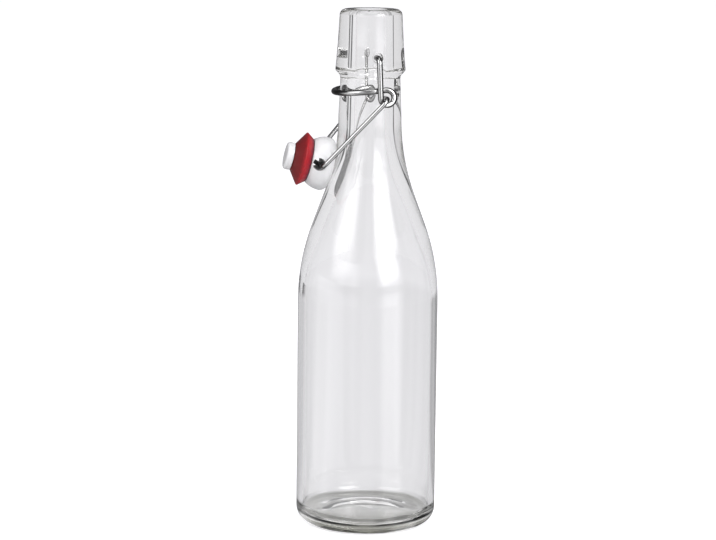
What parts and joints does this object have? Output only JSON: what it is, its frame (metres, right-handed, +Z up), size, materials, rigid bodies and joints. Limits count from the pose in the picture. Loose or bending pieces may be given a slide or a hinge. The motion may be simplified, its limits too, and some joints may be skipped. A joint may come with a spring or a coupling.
{
  "type": "swing-top bottle",
  "caption": "Clear glass bottle with a long neck and a lever-wire closure; its white stopper with a red gasket hangs open beside the neck",
  "frame": {"origin": "The middle of the overall box, on the surface that the bottle stands on", "axes": "+Z is up along the bottle's axis, +Y is along the hinge axes of the closure, and the open stopper hangs on the -X side"},
  "size_m": [0.0797, 0.071, 0.262],
  "materials": {
    "glass": "clear and polished",
    "wire": "bright drawn wire",
    "stopper": "smooth and glossy",
    "gasket": "smooth and slightly matt"
  },
  "bodies": {
    "bottle": {"glass_bottle": "glass"},
    "lever": {"closing_lever": "wire"},
    "bail": {"bail_wire": "wire"},
    "plug": {"stopper": "stopper", "gasket": "gasket"}
  },
  "joints": [
    {"name": "lever_pivot", "type": "hinge", "parent": "bottle", "child": "lever", "pos_m": [0.00434, 0, 0.2387], "axis": [0, 1, 0], "range_deg": [0, 90]},
    {"name": "bail_swing", "type": "hinge", "parent": "lever", "child": "bail", "pos_m": [0.00842, 0, 0.21893], "axis": [0, 1, 0], "range_deg": [0, 60]},
    {"name": "stopper_turn", "type": "hinge", "parent": "bail", "child": "plug", "pos_m": [-0.02233, 0, 0.18498], "axis": [0, 1, 0], "range_deg": [0, 72]}
  ],
  "couplings": [
    {"joint": "stopper_turn", "follows": "bail_swing", "ratio": 1.2}
  ]
}
